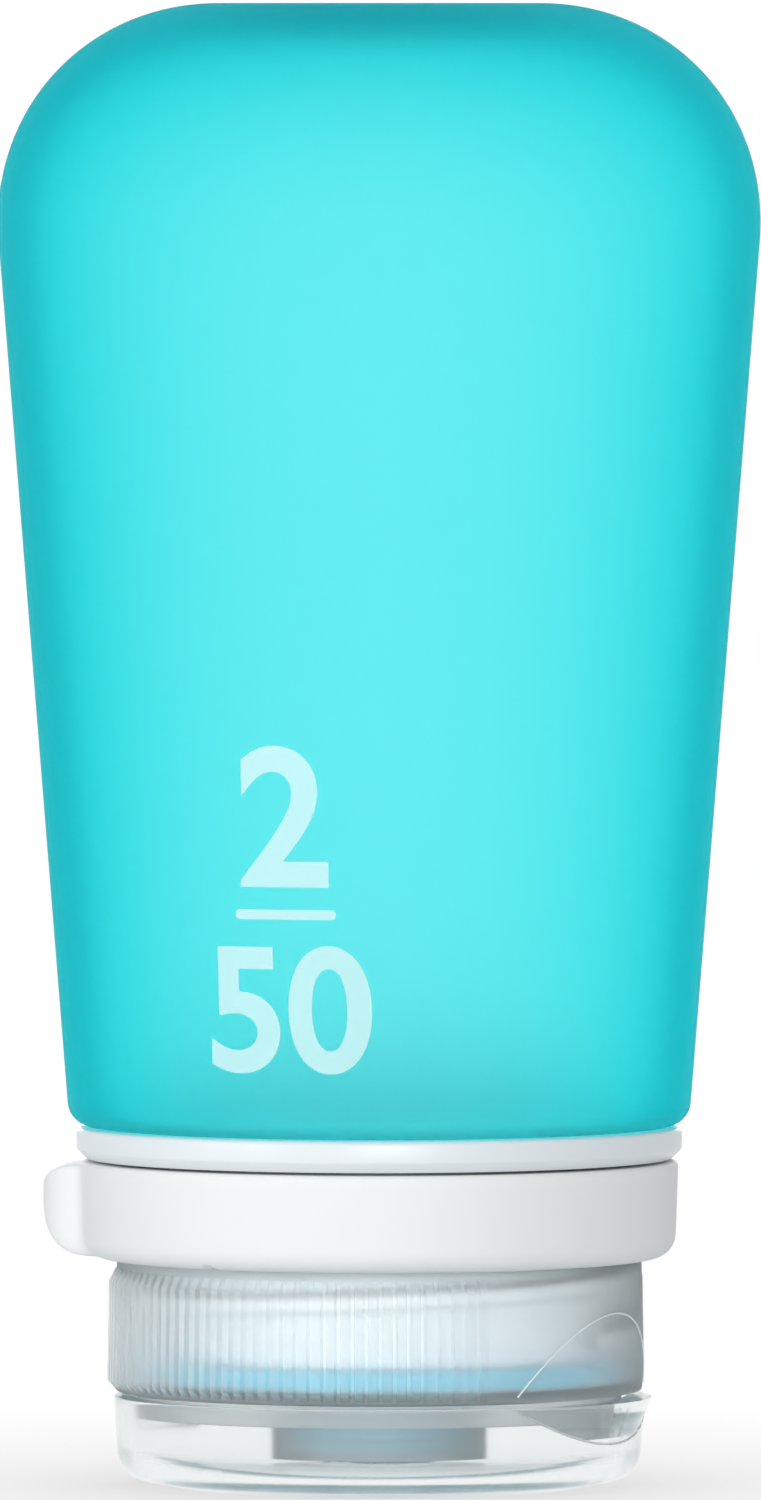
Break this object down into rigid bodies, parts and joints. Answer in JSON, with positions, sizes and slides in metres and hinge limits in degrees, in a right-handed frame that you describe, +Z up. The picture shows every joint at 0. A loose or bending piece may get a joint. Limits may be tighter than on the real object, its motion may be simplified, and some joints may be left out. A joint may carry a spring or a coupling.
{
  "type": "travel silicone bottle",
  "caption": "Squeezable silicone travel bottle with a tapered round body, threaded collar, swivelling loop ring, ribbed screw cap, slit valve and hinged clear flip lid.",
  "frame": {"origin": "middle of the flip lid's flat face, which the bottle stands on", "axes": "+Z up the axis to the closed silicone base, +X towards the lid's thumb lip, -X towards the lid's hinge"},
  "size_m": [0.054, 0.054, 0.1052],
  "materials": {
    "teal_silicone": "translucent moulded silicone, satin",
    "white_collar_plastic": "moulded polypropylene, soft gloss",
    "blue_seal": "moulded silicone",
    "white_soft_rubber": "matte thermoplastic rubber",
    "frosted_plastic": "frosted translucent polypropylene",
    "valve_silicone": "translucent silicone",
    "clear_plastic": "clear glossy polypropylene"
  },
  "bodies": {
    "cap": {"screw_cap": "frosted_plastic", "valve": "valve_silicone", "valve_retainer": "frosted_plastic", "hinge_web": "clear_plastic"},
    "lid": {"flip_lid": "clear_plastic"},
    "seal": {"seal_ring": "blue_seal"},
    "bottle": {"silicone_body": "teal_silicone", "collar": "white_collar_plastic"},
    "loop": {"loop_ring": "white_soft_rubber"}
  },
  "joints": [
    {"name": "lid_flip", "type": "hinge", "parent": "cap", "child": "lid", "pos_m": [-0.0181, 0, 0.00655], "axis": [0, 1, 0], "range_deg": [0, 130], "deforming": ["hinge_web"]},
    {"name": "bottle_turn", "type": "hinge", "parent": "cap", "child": "seal", "pos_m": [0, 0, 0.0083], "axis": [0, 0, 1], "range_deg": [0, 540]},
    {"name": "bottle_lift", "type": "slide", "parent": "seal", "child": "bottle", "axis": [0, 0, 1], "range_m": [0, 0.0061]},
    {"name": "loop_swivel", "type": "hinge", "parent": "bottle", "child": "loop", "pos_m": [0, 0, 0.0196], "axis": [0, 0, 1], "continuous": true}
  ],
  "couplings": [
    {"joint": "bottle_lift", "follows": "bottle_turn", "m_per_rad": 0.00063662}
  ]
}
